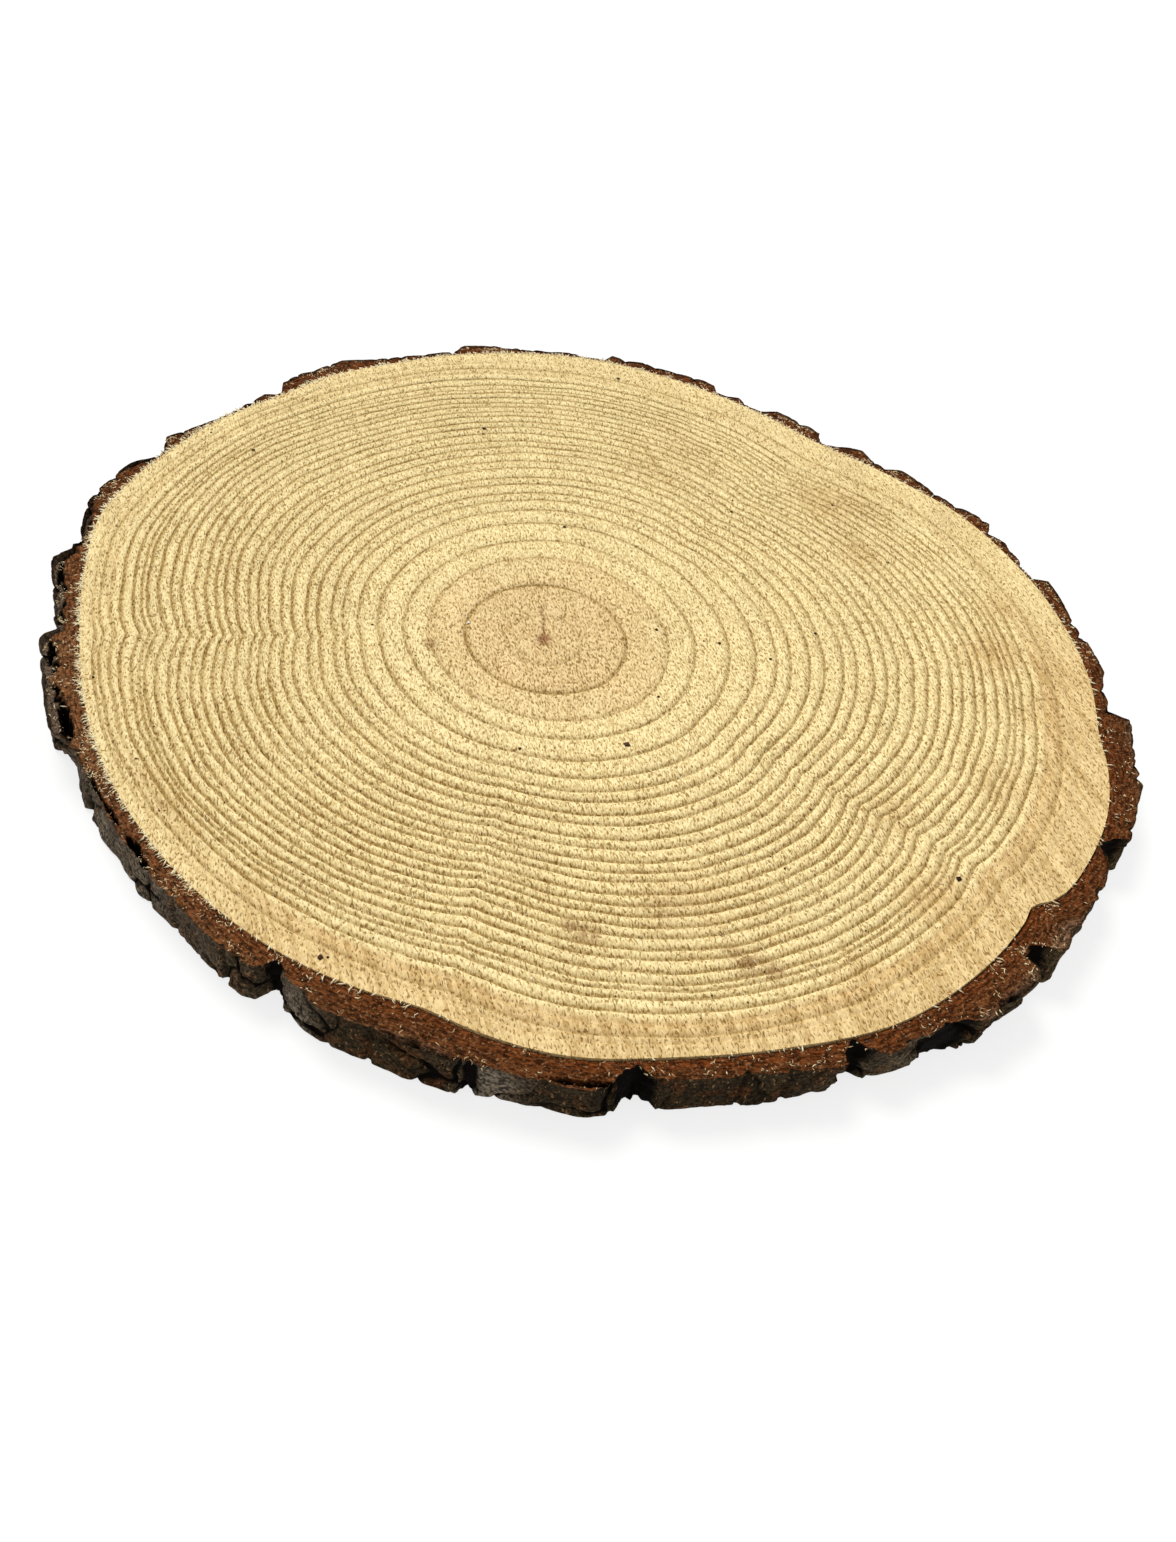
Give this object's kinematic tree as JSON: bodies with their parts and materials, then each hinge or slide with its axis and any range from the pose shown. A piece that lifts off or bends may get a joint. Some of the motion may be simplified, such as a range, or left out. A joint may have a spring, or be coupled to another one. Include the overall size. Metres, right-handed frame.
{
  "type": "wood slice",
  "caption": "Thin round sawn across a softwood stem, with growth rings on its rough faces and rugged bark round its edge; a display base, board or craft blank.",
  "frame": {"origin": "on the lower sawn face, under the middle of the slice's outer box", "axes": "+Z out of the upper sawn face; +X along the slice's longest width, towards the side where the growth rings are widest; the slice lies flat"},
  "size_m": [0.2966, 0.2918, 0.013],
  "materials": {
    "wood": "rough-sawn pale softwood end grain, dry and matt",
    "bark": "flaky bark, red-brown where it is sawn and grey-brown outside, dry and matt"
  },
  "bodies": {
    "root": {"wood": "wood", "bark": "bark"}
  },
  "joints": []
}
